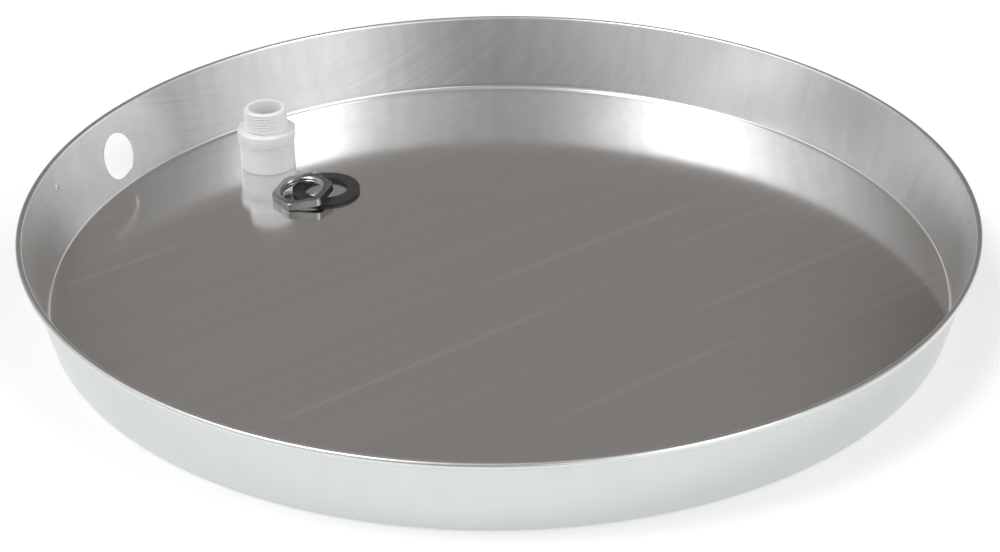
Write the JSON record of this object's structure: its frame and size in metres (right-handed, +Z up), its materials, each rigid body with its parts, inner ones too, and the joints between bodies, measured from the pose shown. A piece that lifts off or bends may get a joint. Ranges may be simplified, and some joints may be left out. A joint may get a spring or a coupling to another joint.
{
  "type": "drain pan",
  "caption": "Shallow round sheet-metal drain pan with a flared wall, curled rim and side drain hole, with its loose pipe adapter, rubber washer and locknut.",
  "frame": {"origin": "on the underside of the pan, at the middle of its flat base", "axes": "+Z up out of the pan, -X towards the drain hole in the wall"},
  "size_m": [0.66, 0.66, 0.058],
  "materials": {
    "pan_sheet": "bright mill finish with rolling lines",
    "adapter_plastic": "satin white moulded plastic",
    "washer_rubber": "matte black",
    "nut_plate": "bright plated"
  },
  "bodies": {
    "pan": {"pan": "pan_sheet"},
    "adapter": {"drain_adapter": "adapter_plastic"},
    "washer": {"rubber_washer": "washer_rubber"},
    "nut": {"locknut": "nut_plate"}
  },
  "joints": [
    {"name": "adapter_lift", "type": "slide", "parent": "pan", "child": "adapter", "axis": [0, 0, 1], "range_m": [0, 0.12]},
    {"name": "washer_lift", "type": "slide", "parent": "pan", "child": "washer", "axis": [0, 0, 1], "range_m": [0, 0.12]},
    {"name": "locknut_lift", "type": "slide", "parent": "washer", "child": "nut", "axis": [0, 0, 1], "range_m": [0, 0.12]}
  ]
}
